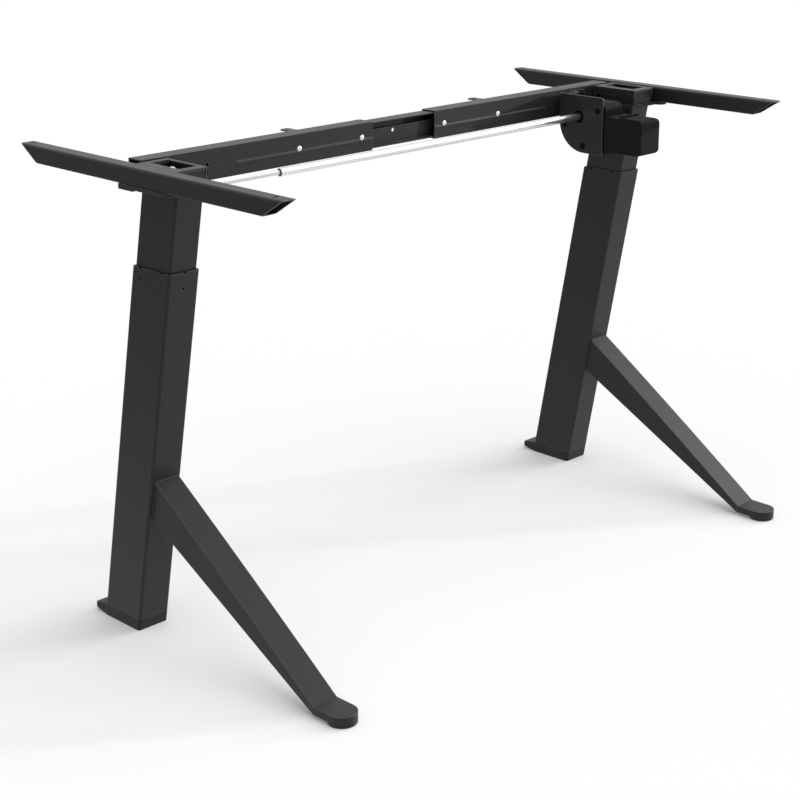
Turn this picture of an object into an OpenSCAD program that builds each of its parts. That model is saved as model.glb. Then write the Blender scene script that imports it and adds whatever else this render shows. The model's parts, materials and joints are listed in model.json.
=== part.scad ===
// Standing desk frame: two leaning lift columns, a telescopic cross rail,
// two side arms for the desk top and one motor that turns both lift spindles.
// Lengths are in millimetres. +Z is up, +X runs along the cross rail, -Y is the toe side.

/* [Overall] */
// Width over the two side arms
frame_w = 1080; // [1060:10:1100]
// Height of the faces that carry the desk top
frame_h = 693.2; // [690:0.4:696]
// Lean of both columns towards the toes, in degrees
lean = 10.42; // [10:0.1:11]
// Distance from an arm's outer face to its column's mirrored middle
column_inset = 55.15; // [55:0.05:56]
// Both columns are one part: they stand this far left of the mirrored middles
column_shift = 6; // [5.5:0.1:6.2]
// Height that the desk top can rise, measured along the columns
lift = 420; // [380:10:430]

/* [Columns] */
// Outer column, across the desk
outer_w = 52; // [50:1:53]
// Outer column, front to back
outer_d = 80; // [78:1:81]
// Outer column wall
outer_wall = 2; // [1.8:0.1:2.2]
// Outer column corner radius
outer_r = 4; // [3.6:0.2:4.6]
// Distance from the desk top's face down to the outer column's level rim
rim_drop = 143.2; // [139:0.2:148]
// Wall of the two plastic liners
liner_t = 0.7; // [0.6:0.05:0.8]
// Gap between a liner and the column that slides on it
slide_gap = 0.3; // [0.25:0.05:0.4]
// Length of each liner
liner_h = 42; // [34:1:42]
// Inner column wall
inner_wall = 1.8; // [1.6:0.1:2]
// Inner column corner radius
inner_r = 3; // [2.8:0.1:3.4]
// Radius of the locating holes below the rim
hole_r = 2.1; // [1.9:0.1:2.3]
// Depth of the locating holes below the rim
hole_drop = 16.5; // [15:0.5:18]
// Side holes, distance from the column's middle
hole_spread = 23; // [21:1:25]
// Width of the notches in the rim
notch_w = 5; // [4:0.5:6]
// Depth of the notches in the rim
notch_h = 2; // [1.6:0.2:2.4]
// How far the liner's tabs and buttons stay back from the column's faces
tab_sink = 0.5; // [0.4:0.1:0.8]

/* [Foot] */
// Height of the plastic foot cap's seam
cap_h = 18; // [17:0.5:19]
// Length of the cap's rear nose
nose_l = 26.1; // [24:0.5:28]
// Height of the nose's lower edge
nose_low = 5; // [4.5:0.5:5.5]
// Height of the nose's upper edge
nose_high = 12.7; // [12:0.1:13.5]
// Setback of the nose's sides behind the cap's sides
nose_inset = 0.6; // [0.4:0.1:1]
// Plan radius of the nose's corners
nose_r = 3; // [2:0.5:4]
// Wall and ribs of the cap
cap_wall = 3; // [2.5:0.25:3.5]
// Depth of the pockets under the cap
cap_pocket = 12; // [10:0.5:13]
// Top of the cap's spigot inside the column, along the column
spigot_s = 36; // [34:1:38]
// Width of brace and toe
brace_w = 42; // [40:1:43]
// Height at which the brace's upper face meets the column
brace_high = 240.2; // [235:1:245]
// Height at which the brace's lower edge meets the column
brace_low = 182.3; // [178:1:186]
// Outward bow of the brace's upper face
brace_bow = 1.5; // [1:0.25:2]
// Sheet thickness of the brace
brace_wall = 2.5; // [2:0.25:3]
// Overhang of the brace's upper sheet over its cheeks
brace_lip = 0.8; // [0.6:0.1:1]
// Thickness of the cross ribs under the brace
rib_t = 3; // [2.5:0.25:3.5]
// Distance from the column's foot to the tip of the toe
toe_reach = 461; // [455:1:465]
// Distance from the column's foot to the bend above the toe
toe_bend = 407.7; // [405:1:410]
// Distance from the column's foot to the bend below the toe
toe_heel = 405; // [403:0.5:405.5]
// Thickness of the toe
toe_t = 11; // [10:0.5:12]
// Height of the toe above the floor
toe_z = 5; // [4.5:0.25:5.5]
// Radius of the glide's disc
glide_r = 20.8; // [20:0.2:21]
// Chamfer on the glide's disc
glide_edge = 0.9; // [0.7:0.1:1.2]
// Height and depth of the groove above the glide's disc
glide_groove = 1; // [0.8:0.1:1.3]
// Radius of the glide's stud
stud_r = 4; // [3.5:0.25:4.5]
// Length of the glide's stud
stud_l = 9; // [8:0.25:9.25]
// Thickness of the plate in the column's foot
end_plate_t = 5; // [4:0.5:6]

/* [Lift drive] */
// Distance from the desk top's face down to the drive shaft's axis
drive_drop = 37.5; // [36.4:0.1:39]
// Outer radius of the tube that holds the spindle nut
nut_tube_r = 13; // [12:0.5:14]
// Wall of the nut tube
nut_tube_wall = 3.5; // [3:0.25:4]
// Length of the spindle nut's body
nut_h = 30; // [26:1:34]
// Thickness of the spindle nut's flange
nut_flange = 4; // [3:0.5:5]
// Distance from the drive axis down to the top of the spindle nut
nut_drop = 76.7; // [72:1:82]
// Radius of the spindle's thread
spindle_r = 6; // [5.5:0.1:6.2]
// Radius of the spindle's journal
journal_r = 5; // [4.5:0.1:5.2]
// Step from the spindle's journal out to its thrust collar, which is as thick
collar_up = 3; // [2.5:0.25:3.5]
// Spindle left below the nut at full height
spindle_spare = 10; // [8:1:14]
// Radial gap of a shaft that turns in its bearing
run_gap = 0.05; // [0.02:0.01:0.08]
// Gap between moving pieces that do not guide each other
free_gap = 0.3; // [0.3:0.05:0.4]
// Wall of the gear carrier beside its pocket
carrier_wall = 3.4; // [3:0.1:3.8]
// Face length of the bevel gears along their axis
bevel_face = 4.2; // [3.5:0.1:4.6]
// Number of teeth on each bevel gear, an even number
bevel_teeth = 20; // [18:2:22]
// Height of the teeth over the pitch cone
tooth_rise = 1.1; // [0.8:0.1:1.2]
// Depth of the tooth gaps under the pitch cone
tooth_drop = 1.8; // [1.7:0.1:2]
// Slope of the tooth flanks, in degrees
tooth_slope = 34; // [34:1:37]
// Thickness of the bevel gears' back hub
bevel_back = 3.5; // [3:0.1:3.6]
// Step from the bevel gears' pitch radius in to their back hub
bevel_hub_step = 3; // [2:0.25:4]
// Radius of the drive gear's journal
hub_r = 7; // [6.5:0.25:7.5]
// Depth of the gear carrier below the drive axis
carrier_low = 42; // [40:1:44]
// Height of the gear carrier above the drive axis
carrier_high = 11; // [10:0.5:12]
// Gear carrier pocket, front to back
pocket_d = 38; // [36:1:40]
// Hollows under the gear carrier, front to back
hollow_d = 16; // [14:1:18]
// Thickness of the gear carrier's sheet around its hollows
hollow_wall = 3; // [2.5:0.25:3.5]

/* [Head] */
// Sheet thickness of the head frame's top
head_t = 2.5; // [2.2:0.1:2.8]
// Sheet thickness of the head frame's walls
head_wall = 2; // [1.8:0.1:2.1]
// Rear edge of the head frame, in front of the columns' feet
head_rear = 80; // [79:0.5:81]
// Free ledge of the right head frame beside its column
head_ledge = 2.4; // [2.2:0.2:4]
// Height of the ledge's wall
ledge_h = 13; // [11:0.5:14]
// Window in the head frame, edge left of the column's middle
window_left = 11.4; // [10:0.2:12]
// Window in the head frame, edge right of the column's middle
window_right = 19; // [18:0.2:20]
// Front edge of the window
window_front = 151; // [148:0.5:152]
// Rear edge of the window
window_rear = 88.4; // [87:0.2:91]
// Thickness of the plate between arm, column and rail
base_t = 5; // [4:0.5:6]
// Rim of the base plate around the column
base_rim = 3; // [2.5:0.25:3.5]
// Front tip of the base plate below the arm
base_front = 174; // [172:1:178]
// Rear end of the base plate's upright flange
flange_rear = 85; // [84:0.5:90]
// Front end of the base plate's upright flange
flange_front = 150; // [146:1:154]
// Thickness of the stiffener below the base plate
doubler_t = 2.4; // [2:0.1:3]
// Front edge of the stiffener
doubler_front = 98; // [94:1:102]

/* [Side arms] */
// Width of a side arm
arm_w = 24; // [22:0.5:25]
// Height of a side arm
arm_h = 25.2; // [24:0.4:26]
// Wall of a side arm
arm_wall = 1.8; // [1.5:0.1:2]
// Corner radius of a side arm
arm_r = 3; // [2.5:0.25:3.5]
// Front end of a side arm, in front of the columns' feet
arm_front = 396.4; // [392:0.4:400]
// Rear end of a side arm, behind the columns' feet
arm_rear = 158.7; // [154:1:162]
// Run of the sloping cut at the front end
arm_front_cut = 39.7; // [36:1:42]
// Run of the sloping cut at the rear end
arm_rear_cut = 37.5; // [34:1:40]
// Width of the slots for the desk top's screws
slot_w = 5.5; // [5:0.25:6]
// Length of the slots for the desk top's screws
slot_l = 11; // [9:0.5:12]
// Distance of the front slot from the arm's end
slot_front = 26.4; // [24:0.4:28]
// Distance of the rear slot from the arm's end
slot_rear = 12.7; // [11:0.5:14]
// Radius of the holes that let the screws in from below
access_r = 6; // [5.5:0.25:7]

/* [Cross rail] */
// Distance from an arm's outer face to the outer rail's end
rail_inset = 39; // [38:0.5:40]
// Half of the gap between the two outer rails
rail_gap_half = 68.3; // [64:0.1:72]
// The gap, the clamp screws and the tabs stand this far right of the middle
rail_shift = 2; // [1.5:0.25:2.5]
// Height of the outer rails
rail_h = 44.2; // [43:0.2:45]
// Front face of the outer rails, in front of the columns' feet
rail_front = 67.5; // [66.5:0.5:68]
// Depth of the outer rail's upper flange
rail_top_d = 27.5; // [26:0.5:28]
// Depth of the outer rail's lower flange
rail_low_d = 12; // [11:0.5:12.5]
// Sheet thickness of the rails
rail_wall = 1.8; // [1.6:0.1:2]
// How far the pressed bead stands out of the outer rail's web
bead_out = 1.2; // [0.9:0.1:1.4]
// Height of the bead's crest above the rail's lower edge
bead_z = 18.2; // [17:0.2:19]
// Rise of the bead above its crest
bead_rise = 2.8; // [2.4:0.2:3.2]
// Fall of the bead below its crest
bead_fall = 7; // [6:0.5:8]
// Outer end of the bead, from the middle of the frame
bead_end = 337; // [330:1:345]
// Height of the lip at the outer rail's rear edge
rail_lip = 18; // [14:0.5:20]
// Half length of the inner rail
inner_half = 380; // [370:5:385]
// Height of the ledge in the inner rail above the outer rail's lower edge
ledge_z = 29; // [28:0.5:30]
// Inner clamp screws, distance from the middle of the frame
screw_in = 90.3; // [86:0.1:96]
// Outer clamp screws, distance from the middle of the frame
screw_out = 217.2; // [214:0.2:222]
// Height of the clamp screws above the rail's lower edge
screw_z = 22.2; // [21:0.2:23]
// Radius of the clamp screws' heads
screw_head_r = 4.3; // [4:0.1:4.6]
// Height of the clamp screws' heads
screw_head_h = 2.2; // [1.8:0.1:2.6]
// Radius of the clamp screws' shanks
screw_r = 2.5; // [2:0.1:2.8]
// Radius of the nuts welded behind the rail
weld_nut_r = 5; // [4.5:0.1:5.5]
// Height of the nuts welded behind the rail
weld_nut_h = 4; // [3:0.25:4.5]
// Round hole in the outer rail, distance from the middle of the frame
port_x = 389; // [384:1:392]
// Radius of the round hole
port_r = 3; // [2.5:0.25:3.5]
// Width of the slot below the round hole
port_slot_w = 2.4; // [2:0.2:3]
// Length of the slot below the round hole
port_slot_l = 10; // [8:0.5:11]
// Lower end of that slot above the rail's lower edge
port_slot_z = 6; // [5:0.25:6.5]
// Hole in the inner rail, distance left of the middle
inner_hole_x = 10; // [6:1:14]
// Fixing tab, middle from the middle of the frame
tab_x = 204; // [202:0.5:206]
// Fixing tab width
tab_w = 16; // [14:0.5:18]
// Fixing tab length behind the rail
tab_l = 21.6; // [20:0.4:24]
// Fixing tab thickness
tab_t = 2; // [1.6:0.1:2.4]
// Height of the tab's foot on the rail
tab_foot = 8; // [7:0.5:9]
// Corner radius of the tab
tab_r = 4; // [3:0.5:5]
// Radius of the screw hole in the tab
tab_hole_r = 2.8; // [2.4:0.1:3]
// Distance of the screw hole from the tab's end
tab_hole_in = 9; // [8:0.5:10]

/* [Drive shaft] */
// Hexagon rod across its flats
rod_af = 6; // [5.6:0.1:6.4]
// Right end of the hexagon rod
rod_right = 40; // [30:2:50]
// Outer radius of the drive tube
tube_r = 6; // [5.8:0.1:6.3]
// Wall of the drive tube
tube_wall = 1.25; // [1:0.05:1.4]
// Left end of the drive tube
tube_left = 301; // [296:1:306]
// Length of the right shaft inside the drive tube
tube_plug = 28; // [24:1:32]
// Drive tube inside the gearbox
tube_in = 7; // [6:0.25:8]
// Length of the bush in the drive tube's left end
tube_bush_l = 20; // [16:1:24]

/* [Motor] */
// Distance from the right arm's outer face to the motor plate
plate_inset = 178; // [176:0.5:180]
// Thickness of the motor plate
plate_t = 3; // [2.5:0.25:3.5]
// Motor plate above the drive axis
plate_up = 35.6; // [34:0.2:35.8]
// Motor plate below the drive axis
plate_down = 60; // [58:0.5:62]
// Motor plate in front of the drive axis
plate_front = 50.4; // [48:0.4:52]
// Motor plate behind the drive axis
plate_rear = 40.6; // [40:0.1:41]
// Radius of the motor plate's round corner
plate_round = 51.5; // [48:0.5:53]
// Radius of the motor plate's upper front corner
plate_corner = 4; // [3:0.5:5]
// Radius of the black bush in the motor plate
bush_r = 11.2; // [10.5:0.1:11.6]
// Length of the bush behind the motor plate
bush_l = 3; // [2.5:0.25:3.5]
// Radius of the three holes in the motor plate
plate_hole_r = 3.5; // [3.2:0.1:3.8]
// Rear hole, behind the drive axis
rear_hole_back = 29.9; // [29:0.1:31]
// Rear hole, below the drive axis
rear_hole_down = 15.5; // [14:0.1:17]
// Front hole, in front of the drive axis
front_hole_ahead = 39.3; // [38:0.1:40]
// Front hole, above the drive axis
front_hole_up = 13.3; // [12:0.1:14]
// Low hole, in front of the drive axis
low_hole_ahead = 9.3; // [8:0.1:11]
// Low hole, below the drive axis
low_hole_down = 48.5; // [47:0.1:49]
// Run of the motor plate's rear flange along the rail
plate_run = 46; // [45:0.5:48]
// Length of the plate's foot on the rail
foot_l = 30; // [28:0.5:32]
// Distance between the two screws in the plate's foot
foot_pitch = 15; // [14:0.5:16]
// Height of the plate's foot
foot_h = 18; // [17:0.5:19]
// Width of the gearbox housing
box_w = 43.6; // [42:0.4:44]
// Height of the gearbox housing above the drive axis
box_up = 25.4; // [24.6:0.2:26]
// Front face of the gearbox housing
box_front = 54.5; // [53:0.5:56]
// Wall of the gearbox housing
box_wall = 3; // [2.5:0.25:3.2]
// Inset of the gearbox housing behind the plate's lower edge
box_inset = 1.5; // [1:0.25:2]
// Fillet on the gearbox housing's upper front edge
box_fillet = 11; // [9:0.5:12]
// Radius of the bosses behind the three holes
boss_r = 5.5; // [5:0.25:6]
// Gap around the pins in the three holes
pin_gap = 0.1; // [0.05:0.01:0.15]
// Distance from the drive axis down to the worm
worm_drop = 21.9; // [21.6:0.1:22.2]
// Radius of the worm
worm_r = 5.4; // [5:0.1:5.6]
// Length of the worm
worm_l = 26; // [22:1:30]
// Radius of the worm's shaft
worm_shaft_r = 3; // [2.6:0.1:3.4]
// Width of the worm wheel
wheel_w = 10; // [9:0.5:12]
// Radius of the worm wheel's hub
wheel_hub_r = 8; // [7.5:0.25:8.5]
// Width of the motor
motor_w = 47.4; // [46:0.4:48]
// Motor above the drive axis
motor_up = 7.5; // [6.5:0.25:8.5]
// Motor below the drive axis
motor_down = 51.7; // [50:0.5:53]
// Front end of the motor's adapter
adapter_front = 84.5; // [83:0.5:86]
// Front end of the motor's band
band_front = 89.6; // [88.5:0.1:90.5]
// Height of the motor's band above the motor
band_h = 3; // [2.5:0.25:3.5]
// Front end of the motor cover
cover_front = 130.5; // [128:0.5:133]
// Edge radius of the motor cover, seen from the side
cover_r = 9; // [8:0.5:10]
// Edge radius of the motor cover, seen from the front
cover_side_r = 6; // [5:0.5:7]

/* [Hidden] */
$fn = 64;
over = frame_w;
mid_y = (toe_reach - arm_rear) / 2;
lean_cos = cos(lean);
lean_tan = tan(lean);
inner_w = outer_w - 2 * (outer_wall + liner_t + slide_gap);
inner_d = outer_d - 2 * (outer_wall + liner_t + slide_gap);
cavity_w = inner_w - 2 * inner_wall;
cavity_d = inner_d - 2 * inner_wall;
cavity_r = inner_r - inner_wall;
rim_z = frame_h - rim_drop;
hole_z = rim_z - hole_drop;
stop_gap = free_gap;
low_s = spigot_s + end_plate_t + stop_gap + liner_t;
drive_z = frame_h - drive_drop;
drive_s = drive_z / lean_cos;
drive_y = -drive_z * lean_tan;
nut_top = drive_s - nut_drop;
spindle_low = nut_top - nut_flange - nut_h - lift - spindle_spare;
bevel_r = cavity_w / 2 - carrier_wall - free_gap - bevel_back;
bevel_hub_r = bevel_r - bevel_hub_step;
bevel_slant = norm([bevel_r, bevel_r]);
bevel_tip_r = bevel_r * tan(45 + atan(tooth_rise / bevel_slant));
bevel_root = 45 - atan(tooth_drop / bevel_slant);
pocket_w = cavity_w - 2 * carrier_wall;
pocket_low = bevel_r + bevel_back + free_gap;
toe_r = brace_w / 2;
toe_top = toe_z + toe_t;
arm_low = frame_h - arm_h;
arm_out = frame_w / 2;
arm_in = arm_out - arm_w;
rail_low = frame_h - rail_h;
rail_back = rail_front - rail_top_d;
rod_r = rod_af / sqrt(3);
tube_bore = tube_r - tube_wall;
plate_x = arm_out - plate_inset;
box_x = plate_x + plate_t;
wheel_x = box_x + box_w / 2;
wheel_r = worm_drop - worm_r - free_gap;
motor_x = plate_x;
round_y = plate_rear - plate_round;
round_z = plate_round - plate_down;
plate_holes = [[rear_hole_back, -rear_hole_down], [-front_hole_ahead, front_hole_up],
    [-low_hole_ahead, -low_hole_down]];
foot_middle = plate_x + plate_run + foot_l / 2;
foot_screw_x = [foot_middle - foot_pitch / 2, foot_middle + foot_pitch / 2];
foot_screw_z = drive_z + plate_up - (foot_h + plate_t) / 2;

// Upper face of the brace, from the column to the bend above the toe
bow_shares = [0, 0.1, 0.2, 0.3, 0.4, 0.5, 0.6, 0.7, 0.8, 0.9, 1];
brace_start = [front_y(brace_high, outer_d), brace_high];
brace_run = [-toe_bend, toe_top] - brace_start;
brace_out = [brace_run[1], -brace_run[0]] / norm(brace_run);
brace_edge = [for (t = bow_shares) brace_start + t * brace_run + 4 * t * (1 - t) * brace_bow * brace_out];
brace_under = [for (p = brace_edge) p - brace_wall * brace_out];
brace_last = len(bow_shares) - 1;
rib_shares = [0.3, 0.6];

steel = [0.13, 0.13, 0.14];
plastic = [0.08, 0.08, 0.09];
zinc = [0.75, 0.75, 0.76];
brass = [0.72, 0.58, 0.3];
nylon = [0.85, 0.85, 0.82];

// Middle of a column; side is -1 on the left and 1 on the right
function column_x(side) = side * (arm_out - column_inset) - column_shift;
// Column axis at a height, and its front and rear face
function axis_y(z) = -z * lean_tan;
function front_y(z, d) = axis_y(z) - d / 2 / lean_cos;
function rear_y(z, d) = axis_y(z) + d / 2 / lean_cos;

// The frame's own space, with the floor origin moved under the middle of the box
module frame_space() {
    translate([0, mid_y, 0]) children();
}

// Upright space at a column's foot
module foot_space(side) {
    translate([column_x(side), mid_y, 0]) children();
}

// Space that leans with a column
module lean_space(side) {
    foot_space(side) rotate([lean, 0, 0]) children();
}

// Leaning space around the point where drive axis and column axis cross
module gear_space(side) {
    lean_space(side) translate([0, 0, drive_s]) children();
}

// Space around the drive axis, at a place along the frame
module drive_space(x) {
    translate([x, mid_y + drive_y, drive_z]) children();
}

// Mirrored space for the arms and rails
module side_space(side) {
    frame_space() scale([side, 1, 1]) children();
}

module level_slab(low, high) {
    translate([-over, -over, low]) cube([2 * over, 2 * over, high - low]);
}

module round_rect(w, d, r) {
    square([w - 2 * r, d], center = true);
    square([w, d - 2 * r], center = true);
    for (x = [-1, 1], y = [-1, 1]) {
        translate([x * (w / 2 - r), y * (d / 2 - r)]) circle(r = r);
    }
}

module slot_view(l, w) {
    square([l - w, w], center = true);
    translate([(l - w) / 2, 0]) circle(r = w / 2);
    translate([(w - l) / 2, 0]) circle(r = w / 2);
}

module post(w, d, r, low, high) {
    translate([0, 0, low]) linear_extrude(high - low) round_rect(w, d, r);
}

module post_tube(w, d, r, wall, low, high) {
    difference() {
        post(w, d, r, low, high);
        post(w - 2 * wall, d - 2 * wall, r - wall, low - wall, high + wall);
    }
}

// A side view in Y and Z, drawn out along X about the middle
module side_view(w) {
    rotate([90, 0, 90]) translate([0, 0, -w / 2]) linear_extrude(w) children();
}

// A side view in Y and Z, drawn out along X from one end to the other
module side_run(from, to) {
    translate([from, 0, 0]) rotate([90, 0, 90]) linear_extrude(to - from) children();
}

module x_pin(r, from, to) {
    translate([from, 0, 0]) rotate([0, 90, 0]) cylinder(r = r, h = to - from);
}

module x_hex(r, from, to) {
    translate([from, 0, 0]) rotate([0, 90, 0]) cylinder(r = r, h = to - from, $fn = 6);
}

module y_pin(r, from, to) {
    translate([0, to, 0]) rotate([90, 0, 0]) cylinder(r = r, h = to - from);
}

module z_pin(r, from, to) {
    translate([0, 0, from]) cylinder(r = r, h = to - from);
}

module rim_pins(side, r, w, d) {
    for (y = [-hole_spread, hole_spread]) {
        foot_space(side) translate([0, axis_y(hole_z) + y, hole_z]) x_pin(r, -w / 2, w / 2);
    }
    lean_space(side) translate([0, 0, hole_z / lean_cos]) y_pin(r, -d / 2, d / 2);
}

module rim_blocks(side, w, d, low, high) {
    for (y = [-hole_spread, hole_spread]) {
        foot_space(side) translate([-w / 2, axis_y(rim_z) + y - notch_w / 2, low])
            cube([w, notch_w, high - low]);
    }
    foot_space(side) translate([-notch_w / 2, axis_y(rim_z) - d / 2 / lean_cos, low])
        cube([notch_w, d / lean_cos, high - low]);
}

module outer_column(side) {
    difference() {
        intersection() {
            lean_space(side) post_tube(outer_w, outer_d, outer_r, outer_wall, 0, rim_z + outer_d);
            level_slab(cap_h, rim_z);
        }
        rim_pins(side, hole_r, 2 * outer_w, 2 * outer_d);
        rim_blocks(side, 2 * outer_w, 2 * outer_d, rim_z - notch_h, rim_z + notch_h);
    }
}

module upper_liner(side) {
    difference() {
        union() {
            intersection() {
                lean_space(side) post(outer_w - 2 * outer_wall, outer_d - 2 * outer_wall,
                    outer_r - outer_wall, 0, rim_z + outer_d);
                level_slab(rim_z - liner_h, rim_z);
            }
            rim_pins(side, hole_r, outer_w - outer_wall, outer_d - outer_wall);
            rim_blocks(side, outer_w - 2 * tab_sink, outer_d - 2 * tab_sink, rim_z - notch_h, rim_z);
        }
        lean_space(side) post(inner_w + 2 * slide_gap, inner_d + 2 * slide_gap,
            outer_r - outer_wall - liner_t, 0, rim_z + outer_d);
    }
}

module lower_liner(side) {
    lean_space(side) difference() {
        post(inner_w + 2 * liner_t, inner_d + 2 * liner_t, inner_r, low_s - liner_t, low_s + liner_h);
        post(inner_w, inner_d, inner_r, low_s, low_s + 2 * liner_h);
        post(cavity_w, cavity_d, cavity_r, 0, 2 * low_s);
    }
}

module inner_column(side) {
    difference() {
        intersection() {
            lean_space(side) post_tube(inner_w, inner_d, inner_r, inner_wall, low_s, frame_h + inner_d);
            level_slab(0, frame_h - head_t);
        }
        gear_space(side) translate([-side * inner_w, 0, 0]) x_pin(rod_r + 2 * free_gap, -inner_w, inner_w);
    }
}

module cap_nose() {
    root = rear_y(cap_h, outer_d);
    intersection() {
        side_view(outer_w) polygon([
            [0, 0],
            [root + nose_l, 0],
            [root + nose_l, nose_high],
            [root, cap_h - nose_inset],
            [0, cap_h - nose_inset]
        ]);
        translate([0, root + nose_l - outer_d / 2, 0])
            post(outer_w - 2 * nose_inset, outer_d, nose_r, -cap_h, 2 * cap_h);
    }
}

module cap_body(side) {
    root = rear_y(cap_h, outer_d);
    intersection() {
        union() {
            lean_space(side) post(outer_w, outer_d, outer_r, -outer_d, outer_d);
            foot_space(side) cap_nose();
        }
        foot_space(side) side_view(2 * outer_w) polygon([
            [-outer_d, 0],
            [root, 0],
            [root + 2 * nose_l, 2 * nose_low],
            [root + 2 * nose_l, cap_h],
            [-outer_d, cap_h]
        ]);
    }
}

module foot_cap(side) {
    pocket_x = (outer_w - 3 * cap_wall) / 2;
    pocket_y = (outer_d - 4 * cap_wall) / 3;
    difference() {
        cap_body(side);
        foot_space(side) for (x = [-1, 1], y = [-1, 0, 1]) {
            translate([x * (pocket_x + cap_wall) / 2 - pocket_x / 2,
                y * (pocket_y + cap_wall) - pocket_y / 2, -cap_pocket])
                cube([pocket_x, pocket_y, 2 * cap_pocket]);
        }
    }
    intersection() {
        lean_space(side) post_tube(outer_w - 2 * outer_wall, outer_d - 2 * outer_wall,
            outer_r - outer_wall, outer_r - outer_wall - liner_t, 0, spigot_s);
        level_slab((cap_h + cap_pocket) / 2, outer_d);
    }
}

module end_plate(side) {
    lean_space(side) difference() {
        post(outer_w - 2 * outer_wall, outer_d - 2 * outer_wall, outer_r - outer_wall,
            spigot_s, spigot_s + end_plate_t);
        z_pin(journal_r, 0, 2 * spigot_s);
    }
}

module nut_tube(side) {
    lean_space(side) difference() {
        z_pin(nut_tube_r, spigot_s + end_plate_t, nut_top - nut_flange);
        z_pin(nut_tube_r - nut_tube_wall, 0, nut_top);
    }
}

module spindle_nut(side) {
    lean_space(side) difference() {
        union() {
            z_pin(nut_tube_r, nut_top - nut_flange, nut_top);
            z_pin(nut_tube_r - nut_tube_wall, nut_top - nut_flange - nut_h, nut_top);
        }
        z_pin(spindle_r + run_gap, 0, 2 * nut_top);
    }
}

module toe_block() {
    side_view(brace_w) polygon([
        [-toe_bend, toe_top],
        [toe_r - toe_reach, toe_top],
        [toe_r - toe_reach, toe_z],
        [-toe_heel, toe_z]
    ]);
    translate([0, toe_r - toe_reach, toe_z]) cylinder(r = toe_r, h = toe_t);
}

module brace_shell() {
    side_view(brace_w - 2 * brace_lip) polygon(concat([[axis_y(brace_high), brace_high]], brace_edge,
        [[-toe_heel, toe_z], [front_y(brace_low, outer_d), brace_low], [axis_y(brace_low), brace_low]]));
    side_view(brace_w) polygon(concat([[axis_y(brace_high), brace_high]], brace_edge,
        [[toe_r - toe_reach, toe_top], [toe_r - toe_reach, toe_top - brace_wall]],
        [for (i = [brace_last : -1 : 0]) brace_under[i]], [[axis_y(brace_high), brace_under[0][1]]]));
    toe_block();
}

// Hollow under the brace's upper sheet, open below, crossed by ribs
module brace_hollow() {
    difference() {
        side_view(brace_w - 2 * (brace_lip + brace_wall)) polygon(concat(
            [[0, brace_high], [front_y(brace_high, outer_d), brace_under[0][1]]],
            [for (i = [1 : brace_last - 1]) brace_under[i]],
            [[brace_under[brace_last - 1][0], -toe_t], [0, -toe_t]]));
        for (share = rib_shares) {
            translate([-brace_w / 2, -share * toe_reach, 0]) cube([brace_w, rib_t, brace_high]);
        }
    }
}

module brace(side) {
    foot_space(side) difference() {
        brace_shell();
        brace_hollow();
        translate([0, toe_r - toe_reach, 0]) z_pin(stud_r + free_gap, 0, toe_z + stud_l + free_gap);
        rotate([lean, 0, 0]) translate([-outer_w, -outer_d / 2, 0]) cube([2 * outer_w, outer_d, rim_z]);
    }
}

module glide(side) {
    foot_space(side) translate([0, toe_r - toe_reach, 0]) rotate_extrude() polygon([
        [0, 0],
        [glide_r - glide_edge, 0],
        [glide_r, glide_edge],
        [glide_r, toe_z - glide_groove],
        [glide_r - glide_groove, toe_z - glide_groove],
        [glide_r - glide_groove, toe_z],
        [stud_r, toe_z],
        [stud_r, toe_z + stud_l],
        [0, toe_z + stud_l]
    ]);
}

module gear_carrier(side) {
    gear_space(side) difference() {
        post(cavity_w, cavity_d, cavity_r, -carrier_low, carrier_high);
        post(pocket_w, pocket_d, cavity_r, -pocket_low, carrier_low);
        z_pin(journal_r + run_gap, -2 * carrier_low, 0);
        x_pin(hub_r + run_gap, 0, inner_w);
        x_pin(rod_r + run_gap, -inner_w, 0);
        for (y = [-1, 1]) {
            translate([0, y * (cavity_d - hollow_d - 2 * hollow_wall) / 2, 0])
                post(cavity_w - 2 * hollow_wall, hollow_d, cavity_r, -2 * carrier_low,
                    -pocket_low - hollow_wall);
        }
    }
}

// Straight bevel gear below the crossing point of both axes, where all its tooth gaps meet
module bevel_gear(first_gap) {
    gap_half = bevel_face * tan(tooth_slope);
    difference() {
        union() {
            z_pin(bevel_hub_r, -bevel_r - bevel_back, -bevel_r);
            translate([0, 0, -bevel_r])
                cylinder(r1 = bevel_tip_r, r2 = bevel_tip_r * (1 - bevel_face / bevel_r), h = bevel_face);
        }
        for (i = [1 : bevel_teeth]) {
            rotate([0, 180 - bevel_root, first_gap + i * 360 / bevel_teeth])
                linear_extrude(2 * bevel_r)
                    polygon([[0, 0], [-bevel_face, gap_half], [-bevel_face, -gap_half]]);
        }
    }
}

module drive_gear(side) {
    gear_space(side) difference() {
        union() {
            rotate([0, -90, 0]) bevel_gear(0);
            x_pin(hub_r, bevel_r, cavity_w / 2);
        }
        rotate([-lean, 0, 0]) x_hex(rod_r, 0, inner_w);
    }
}

module spindle_gear(side) {
    gear_space(side) difference() {
        bevel_gear(180 / bevel_teeth);
        z_pin(journal_r, -2 * bevel_r, 0);
    }
}

module spindle(side) {
    lean_space(side) {
        z_pin(spindle_r, spindle_low, drive_s - carrier_low - free_gap);
        z_pin(journal_r, drive_s - carrier_low - collar_up, drive_s - bevel_r + bevel_face);
        z_pin(journal_r + collar_up, drive_s - carrier_low - free_gap - collar_up,
            drive_s - carrier_low - free_gap);
    }
}

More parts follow.
